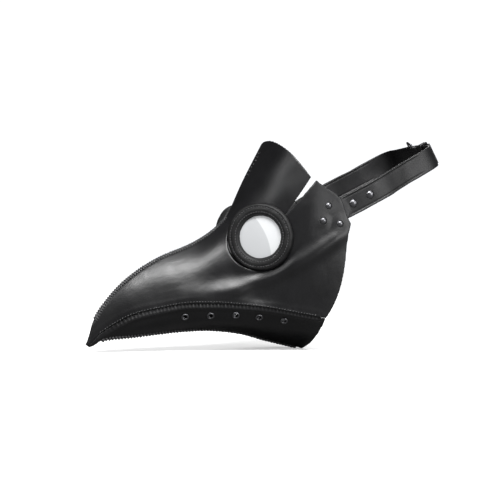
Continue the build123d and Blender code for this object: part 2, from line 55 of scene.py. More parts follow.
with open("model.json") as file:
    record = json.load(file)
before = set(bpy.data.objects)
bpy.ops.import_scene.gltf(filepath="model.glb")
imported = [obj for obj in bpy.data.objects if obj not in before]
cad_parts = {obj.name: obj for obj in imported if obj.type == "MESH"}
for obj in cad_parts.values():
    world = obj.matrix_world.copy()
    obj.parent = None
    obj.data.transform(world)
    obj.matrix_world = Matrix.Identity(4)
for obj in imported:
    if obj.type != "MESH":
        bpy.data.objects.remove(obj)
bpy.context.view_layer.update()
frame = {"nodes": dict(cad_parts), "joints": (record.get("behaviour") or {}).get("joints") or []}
NODES = frame["nodes"]
JOINTS = {joint["name"]: joint for joint in frame["joints"]}


# ---------------------------------------------------------------- materials
def new_material(name):
    material = bpy.data.materials.new(name)
    material.use_nodes = True
    nodes = material.node_tree.nodes
    return material, nodes, material.node_tree.links, nodes["Principled BSDF"]


def leather(name, colour, worn, rough, grain_mm, grain_depth, wrinkle_depth):
    """Grained leather: pebble bump, broad creases, patchy sheen and faint rubbed patches."""
    material, nodes, links, shader = new_material(name)
    place = nodes.new("ShaderNodeTexCoord")
    pebble = nodes.new("ShaderNodeTexVoronoi")
    pebble.inputs["Scale"].default_value = 1.0 / (grain_mm * MM)
    fine = nodes.new("ShaderNodeTexNoise")
    fine.inputs["Scale"].default_value = 2600
    fine.inputs["Detail"].default_value = 5
    broad = nodes.new("ShaderNodeTexNoise")
    broad.inputs["Scale"].default_value = 45
    broad.inputs["Detail"].default_value = 6
    broad.inputs["Distortion"].default_value = 0.8
    patch = nodes.new("ShaderNodeTexNoise")
    patch.inputs["Scale"].default_value = 24
    patch.inputs["Detail"].default_value = 4
    for texture in (pebble, fine, broad, patch):
        links.new(place.outputs["Object"], texture.inputs["Vector"])
    tone = nodes.new("ShaderNodeValToRGB")
    tone.color_ramp.elements[0].position = 0.35
    tone.color_ramp.elements[0].color = (*colour, 1)
    tone.color_ramp.elements[1].position = 0.75
    tone.color_ramp.elements[1].color = (*worn, 1)
    links.new(patch.outputs["Fac"], tone.inputs["Fac"])
    links.new(tone.outputs["Color"], shader.inputs["Base Color"])
    sheen = nodes.new("ShaderNodeMapRange")
    sheen.inputs["To Min"].default_value = rough - 0.07
    sheen.inputs["To Max"].default_value = rough + 0.1
    links.new(broad.outputs["Fac"], sheen.inputs["Value"])
    links.new(sheen.outputs["Result"], shader.inputs["Roughness"])
    last = None
    for texture, output, depth in (
        (broad, "Fac", wrinkle_depth),
        (pebble, "Distance", grain_depth),
        (fine, "Fac", grain_depth * 0.5),
    ):
        bump = nodes.new("ShaderNodeBump")
        bump.inputs["Strength"].default_value = 0.6
        bump.inputs["Distance"].default_value = depth * MM
        links.new(texture.outputs[output], bump.inputs["Height"])
        if last:
            links.new(last.outputs["Normal"], bump.inputs["Normal"])
        last = bump
    links.new(last.outputs["Normal"], shader.inputs["Normal"])
    shader.inputs["Specular IOR Level"].default_value = 0.42
    return material


def metal(name, colour, rough):
    """Dark plated metal with fine scratches and uneven polish."""
    material, nodes, links, shader = new_material(name)
    place = nodes.new("ShaderNodeTexCoord")
    wear = nodes.new("ShaderNodeTexNoise")
    wear.inputs["Scale"].default_value = 420
    wear.inputs["Detail"].default_value = 6
    scratch = nodes.new("ShaderNodeTexNoise")
    scratch.inputs["Scale"].default_value = 1900
    scratch.inputs["Detail"].default_value = 3
    for texture in (wear, scratch):
        links.new(place.outputs["Object"], texture.inputs["Vector"])
    spread = nodes.new("ShaderNodeMapRange")
    spread.inputs["To Min"].default_value = rough - 0.08
    spread.inputs["To Max"].default_value = rough + 0.18
    links.new(wear.outputs["Fac"], spread.inputs["Value"])
    links.new(spread.outputs["Result"], shader.inputs["Roughness"])
    bump = nodes.new("ShaderNodeBump")
    bump.inputs["Strength"].default_value = 0.25
    bump.inputs["Distance"].default_value = 0.05 * MM
    links.new(scratch.outputs["Fac"], bump.inputs["Height"])
    links.new(bump.outputs["Normal"], shader.inputs["Normal"])
    shader.inputs["Base Color"].default_value = (*colour, 1)
    shader.inputs["Metallic"].default_value = 1.0
    return material


def thread_material(name, colour):
    """Waxed thread: fine twisted fibre bump over a dull sheen."""
    material, nodes, links, shader = new_material(name)
    place = nodes.new("ShaderNodeTexCoord")
    twist = nodes.new("ShaderNodeTexWave")
    twist.inputs["Scale"].default_value = 900
    twist.inputs["Distortion"].default_value = 2
    twist.bands_direction = "DIAGONAL"
    links.new(place.outputs["Object"], twist.inputs["Vector"])
    bump = nodes.new("ShaderNodeBump")
    bump.inputs["Strength"].default_value = 0.5
    bump.inputs["Distance"].default_value = 0.15 * MM
    links.new(twist.outputs["Fac"], bump.inputs["Height"])
    links.new(bump.outputs["Normal"], shader.inputs["Normal"])
    # The thread colour is lighter than the leather: partly its own dark tone, partly a painted highlight
    # so the stitches read as glinting thread
    shader.inputs["Base Color"].default_value = (*colour, 1)
    shader.inputs["Roughness"].default_value = 0.38
    return material


def painted_reflection_lens_material(name):
    """Clear lens, drawn mostly opaque, with a painted sky reflection in two tones that meet along a
    curve, the painted reflection also glowing, and faint smears.
    """
    material, nodes, links, shader = new_material(name)
    place = nodes.new("ShaderNodeTexCoord")
    parts = nodes.new("ShaderNodeSeparateXYZ")
    links.new(place.outputs["Generated"], parts.inputs["Vector"])
    bow = nodes.new("ShaderNodeMath")
    bow.operation = "MULTIPLY"
    links.new(parts.outputs["Z"], bow.inputs[0])
    links.new(parts.outputs["Z"], bow.inputs[1])
    edge = nodes.new("ShaderNodeMath")
    edge.operation = "MULTIPLY_ADD"
    links.new(bow.outputs["Value"], edge.inputs[0])
    edge.inputs[1].default_value = 0.42
    links.new(parts.outputs["Y"], edge.inputs[2])
    # The two pale tones are a painted reflection of a bright sky, not the lens's own colour
    tone = nodes.new("ShaderNodeValToRGB")
    tone.color_ramp.elements[0].position = 0.70
    tone.color_ramp.elements[0].color = (0.50, 0.51, 0.52, 1)
    tone.color_ramp.elements[1].position = 0.715
    tone.color_ramp.elements[1].color = (0.66, 0.67, 0.68, 1)
    links.new(edge.outputs["Value"], tone.inputs["Fac"])
    smear = nodes.new("ShaderNodeTexNoise")
    smear.inputs["Scale"].default_value = 60
    links.new(place.outputs["Object"], smear.inputs["Vector"])
    bump = nodes.new("ShaderNodeBump")
    bump.inputs["Distance"].default_value = 0.02 * MM
    links.new(smear.outputs["Fac"], bump.inputs["Height"])
    links.new(bump.outputs["Normal"], shader.inputs["Normal"])
    links.new(tone.outputs["Color"], shader.inputs["Base Color"])
    # The painted reflection also glows, so the lens shines though it is no lamp
    links.new(tone.outputs["Color"], shader.inputs["Emission Color"])
    shader.inputs["Emission Strength"].default_value = 0.3
    shader.inputs["Roughness"].default_value = 0.06
    clear = nodes.new("ShaderNodeBsdfTransparent")
    blend = nodes.new("ShaderNodeMixShader")
    # Drawn mostly opaque, so the painted reflection covers what lies behind the lens
    blend.inputs["Fac"].default_value = 0.82
    links.new(clear.outputs["BSDF"], blend.inputs[1])
    links.new(shader.outputs["BSDF"], blend.inputs[2])
    links.new(blend.outputs["Shader"], nodes["Material Output"].inputs["Surface"])
    return material


PANEL = leather("panel_leather", (0.005, 0.005, 0.0055), (0.010, 0.010, 0.011), 0.34, 1.2, 0.05, 0.12)
RING = leather("ring_leather", (0.004, 0.004, 0.0042), (0.008, 0.008, 0.0085), 0.55, 0.9, 0.16, 0.1)
STRAP = leather("strap_leather", (0.005, 0.005, 0.0055), (0.012, 0.012, 0.013), 0.42, 1.1, 0.10, 0.25)
GUNMETAL = metal("gunmetal", (0.17, 0.17, 0.18), 0.28)
# Dark grey thread: part own colour, part painted highlight standing in for the glint on the stitches
THREAD = thread_material("thread", (0.05, 0.05, 0.052))
# The lens look is a painted reflection that glows
PAINTED_REFLECTION_LENS = painted_reflection_lens_material("lens")


# ---------------------------------------------------------------- mesh helpers
def make_object(name, points, faces, material, smooth=True):
    mesh = bpy.data.meshes.new(name)
    mesh.from_pydata([tuple(point) for point in points], [], faces)
    mesh.update()
    shape = bpy.data.objects.new(name, mesh)
    bpy.context.scene.collection.objects.link(shape)
    mesh.materials.append(material)
    if smooth:
        mesh.polygons.foreach_set("use_smooth", [True] * len(mesh.polygons))
    return shape


def coords(mesh):
    flat = np.empty(len(mesh.vertices) * 3)
    mesh.vertices.foreach_get("co", flat)
    return flat.reshape(-1, 3)


def normals(mesh):
    flat = np.empty(len(mesh.vertices) * 3)
    mesh.vertices.foreach_get("normal", flat)
    return flat.reshape(-1, 3)


def set_coords(mesh, points):
    mesh.vertices.foreach_set("co", points.reshape(-1))
    mesh.update()


def solid_copy(name, nodes, material, voxel_mm, extra=None, smoothing=4):
    """A finely remeshed copy of some CAD nodes, with softened edges."""
    build = bmesh.new()
    for node in nodes:
        build.from_mesh(NODES[node].data)
    if extra:
        build.from_mesh(extra)
    bmesh.ops.remove_doubles(build, verts=build.verts, dist=1e-6)
    mesh = bpy.data.meshes.new(name)
    build.to_mesh(mesh)
    build.free()
    shape = bpy.data.objects.new(name, mesh)
    bpy.context.scene.collection.objects.link(shape)
    remesh = shape.modifiers.new("remesh", "REMESH")
    remesh.mode = "VOXEL"
    remesh.voxel_size = voxel_mm * MM
    soften = shape.modifiers.new("soften", "SMOOTH")
    soften.factor = 0.5
    soften.iterations = smoothing
    graph = bpy.context.evaluated_depsgraph_get()
    done = bpy.data.meshes.new_from_object(shape.evaluated_get(graph))
    shape.modifiers.clear()
    shape.data = done
    done.materials.clear()
    done.materials.append(material)
    done.polygons.foreach_set("use_smooth", [True] * len(done.polygons))
    return shape


def centre_line(node, step_mm):
    """The line down the middle of a thread node, as points in order of Y."""
    points = coords(NODES[node].data)
    low, high = points[:, 1].min(), points[:, 1].max()
    count = max(2, int((high - low) / (step_mm * MM)))
    edges = np.linspace(low, high, count + 1)
    line = []
    for start, end in zip(edges[:-1], edges[1:]):
        inside = points[(points[:, 1] >= start) & (points[:, 1] <= end)]
        if len(inside):
            line.append((inside.min(axis=0) + inside.max(axis=0)) / 2)
    return np.array(line)


def resample(line, step_mm):
    """Points spaced evenly along a line."""
    lengths = np.linalg.norm(np.diff(line, axis=0), axis=1)
    total = np.concatenate([[0], np.cumsum(lengths)])
    count = max(2, int(total[-1] / (step_mm * MM)))
    spots = np.linspace(0, total[-1], count)
    return np.stack([np.interp(spots, total, line[:, axis]) for axis in range(3)], axis=1)


def smooth_noise(points, scale_mm, seed):
    """A smooth random value from -1 to 1 at each point."""
    chooser = np.random.default_rng(seed)
    total = np.zeros(len(points))
    for _ in range(7):
        direction = chooser.normal(size=3)
        direction /= np.linalg.norm(direction)
        wave = 2 * np.pi / (scale_mm * MM * chooser.uniform(0.6, 1.6))
        total += np.sin(points @ direction * wave + chooser.uniform(0, 6.28))
    return total / 3.5


def nearest(points, line):
    """Distance from each point to the closest point of a line, and that point's index."""
    best = np.full(len(points), 1e9)
    index = np.zeros(len(points), int)
    for place, spot in enumerate(line):
        distance = np.linalg.norm(points - spot, axis=1)
        closer = distance < best
        best[closer] = distance[closer]
        index[closer] = place
    return best, index


class Tubes:
    """Collects short rounded tubes of thread into one mesh."""

    def __init__(self):
        self.points = []
        self.faces = []

    def add(self, path, radius, sides=8):
        path = [Vector(point) for point in path]
        count = len(path)
        start = len(self.points)
        for place, spot in enumerate(path):
            along = (path[min(place + 1, count - 1)] - path[max(place - 1, 0)]).normalized()
            side = along.orthogonal() if place == 0 else side - along * side.dot(along)
            side.normalize()
            other = along.cross(side)
            taper = 0.45 if place in (0, count - 1) else 1.0
            for turn in range(sides):
                angle = 2 * math.pi * turn / sides
                offset = (side * math.cos(angle) + other * math.sin(angle)) * radius * taper
                self.points.append(spot + offset)
        for place in range(count - 1):
            for turn in range(sides):
                a = start + place * sides + turn
                b = start + place * sides + (turn + 1) % sides
                self.faces.append((a, b, b + sides, a + sides))
        self.faces.append(tuple(start + turn for turn in reversed(range(sides))))
        end = start + (count - 1) * sides
        self.faces.append(tuple(end + turn for turn in range(sides)))


def lathe(name, profile, origin, axis, material, steps=64, closed=False):
    """A turned shape. Profile points are (radius, height) in mm, height along axis from origin."""
    axis = Vector(axis).normalized()
    turn_to = axis.to_track_quat("Z", "Y").to_matrix()
    points, faces = [], []
    for step in range(steps):
        angle = 2 * math.pi * step / steps
        for radius, height in profile:
            local = Vector((radius * math.cos(angle), radius * math.sin(angle), height)) * MM
            points.append(Vector(origin) + turn_to @ local)
    width = len(profile)
    spans = width if closed else width - 1
    for step in range(steps):
        following = (step + 1) % steps
        for place in range(spans):
            after = (place + 1) % width
            near = step * width
            far = following * width
            faces.append((near + place, far + place, far + after, near + after))
    return make_object(name, points, faces, material)


def joined(name, shapes):
    """Several shapes as one piece."""
    build = bmesh.new()
    for shape in shapes:
        build.from_mesh(shape.data)
    mesh = bpy.data.meshes.new(name)
    build.to_mesh(mesh)
    build.free()
    mesh.materials.append(shapes[0].data.materials[0])
    mesh.polygons.foreach_set("use_smooth", [True] * len(mesh.polygons))
    for shape in shapes:
        bpy.data.objects.remove(shape)
    piece = bpy.data.objects.new(name, mesh)
    bpy.context.scene.collection.objects.link(piece)
    return piece


def round_axis(points):
    """Centre and axis of a turned solid: the axis is the direction whose spread differs from the rest."""
    middle = (points.max(axis=0) + points.min(axis=0)) / 2
    values, vectors = np.linalg.eigh(np.cov((points - points.mean(axis=0)).T))
    odd = 0 if abs(values[0] - values[1]) > abs(values[2] - values[1]) else 2
    return points.mean(axis=0), vectors[:, odd], middle


def loose_parts(node):
    """The vertex positions of each separate solid in a CAD node."""
    build = bmesh.new()
    build.from_mesh(NODES[node].data)
    bmesh.ops.remove_doubles(build, verts=build.verts, dist=1e-6)
    build.verts.ensure_lookup_table()
    seen, parts = set(), []
    for vert in build.verts:
        if vert.index in seen:
            continue
        stack, group = [vert], []
        seen.add(vert.index)
        while stack:
            here = stack.pop()
            group.append(tuple(here.co))
            for edge in here.link_edges:
                other = edge.other_vert(here)
                if other.index not in seen:
                    seen.add(other.index)
                    stack.append(other)
        parts.append(np.array(group))
    build.free()
    return parts


# ---------------------------------------------------------------- leather panels
ridge_line = centre_line("ridge_thread", 4)
bottom_line = centre_line("bottom_thread", 4)
jaw_lines = {side: centre_line(f"{side}_jaw_thread", 4) for side in ("left", "right")}
eyes = {}
for side in ("left", "right"):
    ring_points = coords(NODES[f"{side}_ring_outer_thread"].data)
    middle = ring_points.mean(axis=0)
    values, vectors = np.linalg.eigh(np.cov((ring_points - middle).T))
    axis = vectors[:, 0]
    if axis[1] > 0:
        axis = -axis
    eyes[side] = (middle, axis)


# The raised crease below the eye, as (back, up) distances from the eye centre in mm
FOLD_CREST = [(-92, -70), (-60, -67), (-21, -60), (18, -44), (55, -22), (91, 2), (110, 14)]


def fold_distance(points, eye):
    """Height of each point above the crest line of the fold, in mm, seen from the side."""
    back_mm = (points[:, 1] - eye[1]) / MM
    up_mm = (points[:, 2] - eye[2]) / MM
    crest = np.array(FOLD_CREST, float)
    level = np.interp(back_mm, crest[:, 0], crest[:, 1])
    slope = np.diff(crest[:, 1]) / np.diff(crest[:, 0])
    tilt = np.interp(back_mm, (crest[1:, 0] + crest[:-1, 0]) / 2, slope)
    strength = np.clip((back_mm + 92) / 60, 0, 1) * np.clip((112 - back_mm) / 30, 0, 1)
    return (up_mm - level) / np.sqrt(1 + tilt ** 2), strength


def spine(points):
    """The middle of the mask at each point's place along the beak."""
    ridge = np.interp(points[:, 1], ridge_line[:, 1], ridge_line[:, 2])
    floor_line = np.interp(points[:, 1], bottom_line[:, 1], bottom_line[:, 2])
    middle = np.zeros_like(points)
    middle[:, 1] = points[:, 1]
    middle[:, 2] = (ridge + floor_line) / 2
    return middle


def outside_direction(points, out):
    """The way from inside to outside through the leather at each point, on both of its faces."""
    radial = points - spine(points)
    radial[:, 0] += 0.35 * np.abs(radial[:, 2]) * np.sign(points[:, 0])
    radial /= np.linalg.norm(radial, axis=1)[:, None] + 1e-12
    agree = np.sum(out * radial, axis=1)
    mixed = out * np.sign(agree)[:, None] * np.clip(np.abs(agree) * 2, 0, 1)[:, None] + 0.6 * radial
    return mixed / (np.linalg.norm(mixed, axis=1)[:, None] + 1e-12)


def fixings(side):
    """Centres of everything clamped through the leather, where it can't lift."""
    fixed = ("cheek_rivets", "eyelets")
    spots = [part.mean(axis=0) for node in fixed for part in loose_parts(f"{side}_{node}")]
    return np.array(spots)


# How far the two halves are drawn together along the middle seams, mm
RIDGE_PULL = 1.2
BOTTOM_PULL = 1.3


def dress_leather(shape, side, puckers, tuck, roll):
    """Adds broad give, fold, hollow and the puckers that tight stitches pull into the leather."""
    mesh = shape.data
    points = coords(mesh)
    way = outside_direction(points, normals(mesh))
    lift = 0.09 * smooth_noise(points, 60, SEED) + 0.03 * smooth_noise(points, 22, SEED + 1)
    for line, pitch_mm, depth_mm in puckers:
        distance, _ = nearest(points, line)
        wave = np.cos(2 * np.pi * points[:, 1] / (pitch_mm * MM))
        lift += depth_mm * wave * np.exp(-((distance / (4 * MM)) ** 2))
        lift += 0.3 * np.exp(-(((distance - 6 * MM) / (3 * MM)) ** 2))
    eye, _ = eyes[side]
    above, strength = fold_distance(points, eye)
    lift += strength * (3.4 * np.exp(-((above / 9) ** 2)) - 1.3 * np.exp(-(((above - 19) / 9) ** 2)))
    held, _ = nearest(points, fixings(side))
    lift *= 1 - np.exp(-((held / (9 * MM)) ** 2))
    from_eye = np.linalg.norm(points - eye, axis=1)
    lift *= 1 - np.exp(-(((from_eye - 38 * MM) / (6 * MM)) ** 2))
    seam_distance, _ = nearest(points, jaw_lines[side])
    behind_tip = (points[:, 1] - jaw_lines[side][:, 1].min()) / MM
    tip_fade = np.clip((behind_tip - 4) / 16, 0, 1)
    lift += roll * tip_fade * np.exp(-(((seam_distance - 5.5 * MM) / (2.4 * MM)) ** 2))
    points = points + way * (lift * MM)[:, None]
    distance, _ = nearest(points, ridge_line)
    points[:, 0] -= np.sign(points[:, 0]) * RIDGE_PULL * MM * np.exp(-((distance / (6 * MM)) ** 2))
    distance, _ = nearest(points, bottom_line)
    points[:, 0] -= np.sign(points[:, 0]) * BOTTOM_PULL * MM * np.exp(-((distance / (5 * MM)) ** 2))
    distance, _ = nearest(points, jaw_lines[side])
    close = np.clip(1 - distance / (4.5 * MM), 0, 1) * tip_fade
    points[:, 2] += tuck[0] * MM * close
    points[:, 0] += np.sign(points[:, 0]) * tuck[1] * MM * close
    set_coords(mesh, points)


panel_seams = {
    "upper_panel": lambda side: [(ridge_line, 6.2, 0.12), (jaw_lines[side], 7.0, 0.1)],
    "lower_panel": lambda side: [(bottom_line, 6.2, 0.2), (jaw_lines[side], 7.0, 0.1)],
}
# How far each panel's edge moves up and out at the jaw seam, mm: the lower panel tucks behind the upper
TUCK = {"upper_panel": (-0.8, 0.7), "lower_panel": (1.4, -1.5)}
ROLL = {"upper_panel": 0.0, "lower_panel": 1.0}
shells = {}
for side in ("left", "right"):
    for kind, seams in panel_seams.items():
        node = f"{side}_{kind}"
        shape = solid_copy(f"{node}_leather", [node], PANEL, 0.9)
        dress_leather(shape, side, seams(side), TUCK[kind], ROLL[kind])
        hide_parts(node)
        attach(shape, "mask")
        shells[node] = shape
brow = solid_copy("brow_leather", ["brow_panel"], PANEL, 0.9)
mesh = brow.data
points = coords(mesh)
out = normals(mesh)
brow_lift = 0.25 * smooth_noise(points, 50, SEED + 3)
set_coords(mesh, points + out * (brow_lift * MM)[:, None] + np.array([0, -0.3, -1.0]) * MM)
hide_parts("brow_panel")
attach(brow, "mask")
shells["brow_panel"] = brow


def surface_tree(names):
    """A search tree over the outside of several dressed panels."""
    points, faces = [], []
    for name in names:
        mesh = shells[name].data
        base = len(points)
        points += [tuple(v.co) for v in mesh.vertices]
        faces += [tuple(base + index for index in p.vertices) for p in mesh.polygons]
    return BVHTree.FromPolygons(points, faces)


skin_tree = surface_tree(list(shells))


def on_skin(point, outside):
    """The first leather point met when looking inward from well outside a point."""
    point, outside = Vector(point), Vector(outside).normalized()
    hit, normal, _, _ = skin_tree.ray_cast(point + outside * 12 * MM, -outside, 24 * MM)
    if hit is None:
        hit, normal, _, _ = skin_tree.find_nearest(point)
    return hit, normal


# ---------------------------------------------------------------- eye rings and lenses
RING_PROFILE = [
    (38.2, -7.5), (38.6, -4.0), (38.9, 0.2), (38.6, 2.2), (37.6, 3.7), (36.2, 4.5), (34.9, 4.45),
    (34.3, 4.15), (33.7, 4.5), (32.0, 4.95), (30.2, 4.85), (29.0, 4.5), (28.4, 4.1), (27.8, 4.35),
    (26.8, 3.9), (25.8, 2.9), (25.3, 1.6), (25.2, 0.2), (24.3, -0.2), (24.2, -1.0), (28.1, -1.1),
    (28.1, -7.5),
]
# The lens from its front centre out to the rim and back to its rear centre, as (radius, height) in mm
LENS_PROFILE = [
    (0.0, 0.9), (8, 0.75), (16, 0.3), (22, -0.3), (27.6, -1.05),
    (27.9, -1.2), (27.9, -3.1), (24, -2.4), (12, -1.4), (0.0, -1.1),
]
THREAD_PROUD = 4.95
for side in ("left", "right"):
    centre, axis = eyes[side]
    base = centre - axis * THREAD_PROUD * MM
    ring = lathe(f"{side}_eye_ring_leather", RING_PROFILE, base, axis, RING, 220, closed=True)
    points = coords(ring.data)
    offset = 0.28 * smooth_noise(points, 14, SEED + 5) + 0.1 * smooth_noise(points, 4, SEED + 6)
    set_coords(ring.data, points + normals(ring.data) * (offset * MM)[:, None])
    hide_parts(f"{side}_eye_ring")
    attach(ring, "mask")
    # The lens pane carries the painted, glowing reflection
    lens = lathe(f"{side}_lens_pane_painted_reflection", LENS_PROFILE, base, axis, PAINTED_REFLECTION_LENS, 96)
    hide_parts(f"{side}_lens")
    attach(lens, "mask")
    turn_to = Vector(axis).to_track_quat("Z", "Y").to_matrix()
    for row, radius in (("outer", 34.3), ("inner", 28.4)):
        tubes = Tubes()
        count = int(2 * math.pi * radius / 3.1)
        for step in range(count):
            path = []
            for share in (0.0, 0.2, 0.5, 0.8, 1.0):
                angle = 2 * math.pi * (step + share * 0.72) / count
                rise = 4.1 + 0.55 * math.sin(math.pi * share)
                local = Vector((radius * math.cos(angle), radius * math.sin(angle), rise)) * MM
                path.append(Vector(base) + turn_to @ local)
            tubes.add(path, 0.6 * MM)
        stitches = make_object(f"{side}_ring_{row}_stitches", tubes.points, tubes.faces, THREAD)
        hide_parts(f"{side}_ring_{row}_thread")
        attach(stitches, "mask")

# ---------------------------------------------------------------- seam stitches
def run_stitches(name, node, line, pitch_mm, builder):
    tubes = Tubes()
    spots = resample(line, pitch_mm)
    for place in range(1, len(spots) - 1):
        along = Vector(spots[place + 1] - spots[place - 1]).normalized()
        builder(tubes, place, Vector(spots[place]), along)
    stitches = make_object(name, tubes.points, tubes.faces, THREAD)
    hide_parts(node)
    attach(stitches, "mask")


def crossing(outside_of, half_mm, lean_mm, radius_mm):
    """Makes a builder for whip stitches that cross the middle seam from side to side."""
    def build(tubes, place, spot, along):
        up = outside_of(along)
        for lean in (lean_mm, -lean_mm):
            path = []
            for share in (-1.0, -0.8, -0.45, 0.0, 0.45, 0.8, 1.0):
                sideways = Vector((share * half_mm * MM, 0, 0))
                target = spot + sideways + along * (share * lean * MM)
                hit, normal = on_skin(target, up)
                sink = -0.5 if abs(share) == 1.0 else 0.75 * radius_mm
                lift = sink + 0.35 * (1 - abs(share))
                path.append(hit + up * lift * MM)
            tubes.add(path, radius_mm * MM)
    return build


def ridge_up(along):
    """Square to the ridge, away from the inside of the beak."""
    return Vector((-1, 0, 0)).cross(along).normalized() * -1


def below(along):
    """Square to the bottom seam, away from the inside of the beak."""
    return -ridge_up(along)


def brow_front(along):
    """Square to the brow line, away from the head."""
    up = Vector((-1, 0, 0)).cross(along).normalized()
    return up if up.y < 0 else -up


run_stitches("ridge_stitches", "ridge_thread", ridge_line, 3.0, crossing(ridge_up, 3.2, 1.5, 0.85))
run_stitches("bottom_stitches", "bottom_thread", bottom_line, 3.6, crossing(below, 3.2, 0.6, 1.15))


brow_line = centre_line("brow_thread", 4)
run_stitches("brow_stitches", "brow_thread", brow_line, 4.2, crossing(brow_front, 2.0, 0.8, 0.5))


def jaw_builder(side):
    """Makes a builder for the short stitches that run just above the jaw seam."""
    sign = 1 if side == "left" else -1

    def build(tubes, place, spot, along):
        outside = Vector((sign, 0, 0.15)).normalized()
        down = outside.cross(along) * (-1 if outside.cross(along).z > 0 else 1)
        near_tip = spot.y < jaw_lines[side][:, 1].min() + 45 * MM
        path = []
        for share in (-1.0, -0.6, 0.0, 0.6, 1.0):
            slant = 0.5 * share if near_tip else 0.25 * share
            target = spot - down * (2.2 + slant) * MM + along * share * 0.95 * MM
            hit, normal = on_skin(target, outside)
            lift = -0.25 if abs(share) == 1.0 else 0.3
            path.append(hit + outside * lift * MM)
        tubes.add(path, 0.55 * MM)
    return build


for side in ("left", "right"):
    run_stitches(f"{side}_jaw_stitches", f"{side}_jaw_thread", jaw_lines[side], 3.2, jaw_builder(side))

# ---------------------------------------------------------------- rivets and eyelets
RIVET_GRIP = 4.0
SHANK_RADIUS = 1.5
DOME_HEIGHT = 2.3
CAP_HEIGHT = 1.0


def outward_axis(axis, spot, side):
    sign = 1 if side == "left" else -1
    return axis if axis[0] * sign > 0 else -axis


def hardware(node, side, profile, body, piece_name, from_top):
    """Replaces a node of repeated round parts with turned metal parts in the same places."""
    shapes = []
    for place, part in enumerate(loose_parts(node)):
        mean, axis, _ = round_axis(part)
        axis = outward_axis(axis, mean, side)
        heights = (part - mean) @ axis
        level = heights.max() if from_top else heights.min()
        spot = mean + axis * level
        shapes.append(lathe(f"{piece_name}_{place}", profile, spot, axis, GUNMETAL, 48))
    piece = joined(piece_name, shapes)
    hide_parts(node)
    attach(piece, body)


def dome_profile(radius, height):
    """A domed rivet head with its shank below, as (radius, height) in mm from the top of the dome."""
    curve = [(0.0, 0.0), (0.3, 0.06), (0.58, 0.22), (0.8, 0.5), (0.93, 0.78), (0.99, 0.9), (1.0, 1.0)]
    dome = [(radius * out, -height * down) for out, down in curve]
    lip = (radius * 0.97, -height - 0.25)
    foot = -height - RIVET_GRIP
    return dome + [lip, (SHANK_RADIUS, -height - 0.3), (SHANK_RADIUS, foot), (0.0, foot)]


def cap_profile(radius, height):
    """The flat, slightly crowned cap on the inner end of a rivet."""
    return [
        (0.0, -0.15), (radius * 0.5, 0.0), (radius * 0.9, height * 0.2), (radius, height * 0.55),
        (radius * 0.96, height), (0.0, height),
    ]


EYELET_PROFILE = [
    (2.3, -3.6), (2.3, -1.0), (2.45, -0.35), (2.9, 0.12), (3.5, 0.2), (4.05, -0.1), (4.35, -0.6),
    (4.3, -0.95), (2.9, -1.0), (2.9, -3.6),
]
WASHER_PROFILE = [(2.9, 0.0), (3.4, -0.15), (4.1, 0.1), (4.3, 0.5), (4.2, 0.9), (2.9, 0.9), (2.9, 0.0)]
# Node, profile, body it rides, piece name, and whether it is placed from its outer end
HARDWARE = [
    ("cheek_rivets", dome_profile(4.1, DOME_HEIGHT), "mask", "cheek_rivet_heads", True),
    ("strap_rivets", dome_profile(4.8, DOME_HEIGHT), "harness", "strap_rivet_heads", True),
    ("cheek_rivet_caps", cap_profile(4.0, CAP_HEIGHT), "mask", "cheek_rivet_backs", False),
    ("strap_rivet_caps", cap_profile(4.2, CAP_HEIGHT), "harness", "strap_rivet_backs", False),
    ("eyelets", EYELET_PROFILE, "mask", "eyelet_rims", True),
    ("eyelet_washers", WASHER_PROFILE, "mask", "eyelet_backs", False),
]
for side in ("left", "right"):
    for node, profile, body, piece_name, from_top in HARDWARE:
        hardware(f"{side}_{node}", side, profile, body, f"{side}_{piece_name}", from_top)

# ---------------------------------------------------------------- strap, buckle and keeper
STRAP_HALF_WIDTH = 13
hinge = JOINTS["buckle_swing"]
tilt = JOINTS["harness_tilt"]
pivot = np.array(tilt["pos_m"])
across = -np.array(hinge["axis"], float)
across /= np.linalg.norm(across)
back = np.cross(across, np.array([1.0, 0, 0]))


def strap_axes(points):
    """Distance back along the strap plane, and distance across the strap, of each point."""
    return (points - pivot) @ back, (points - pivot) @ across


def dress_strap(shape, half_width_mm):
    """Rounds the strap, presses a crease line near both edges and adds wear waves."""
    mesh = shape.data
    points = coords(mesh)
    out = normals(mesh)
    run, over = strap_axes(points)
    flat = np.abs(out @ across) < 0.5
    inset = half_width_mm * MM - np.abs(over)
    crease = np.exp(-(((inset - 3.0 * MM) / (0.8 * MM)) ** 2))
    bead = np.exp(-(((inset - 1.3 * MM) / (1.0 * MM)) ** 2))
    lift = flat * (0.45 * bead - 0.55 * crease) + 0.25 * smooth_noise(points, 30, SEED + 8)
    lift *= np.clip((run / MM - 10) / 4, 0, 1)
    # The keeper and the buckle run close over the back stretch, so it lies flat there
    lift *= np.clip((124 - run / MM) / 10, 0, 1)
    set_coords(mesh, points + out * (lift * MM)[:, None])


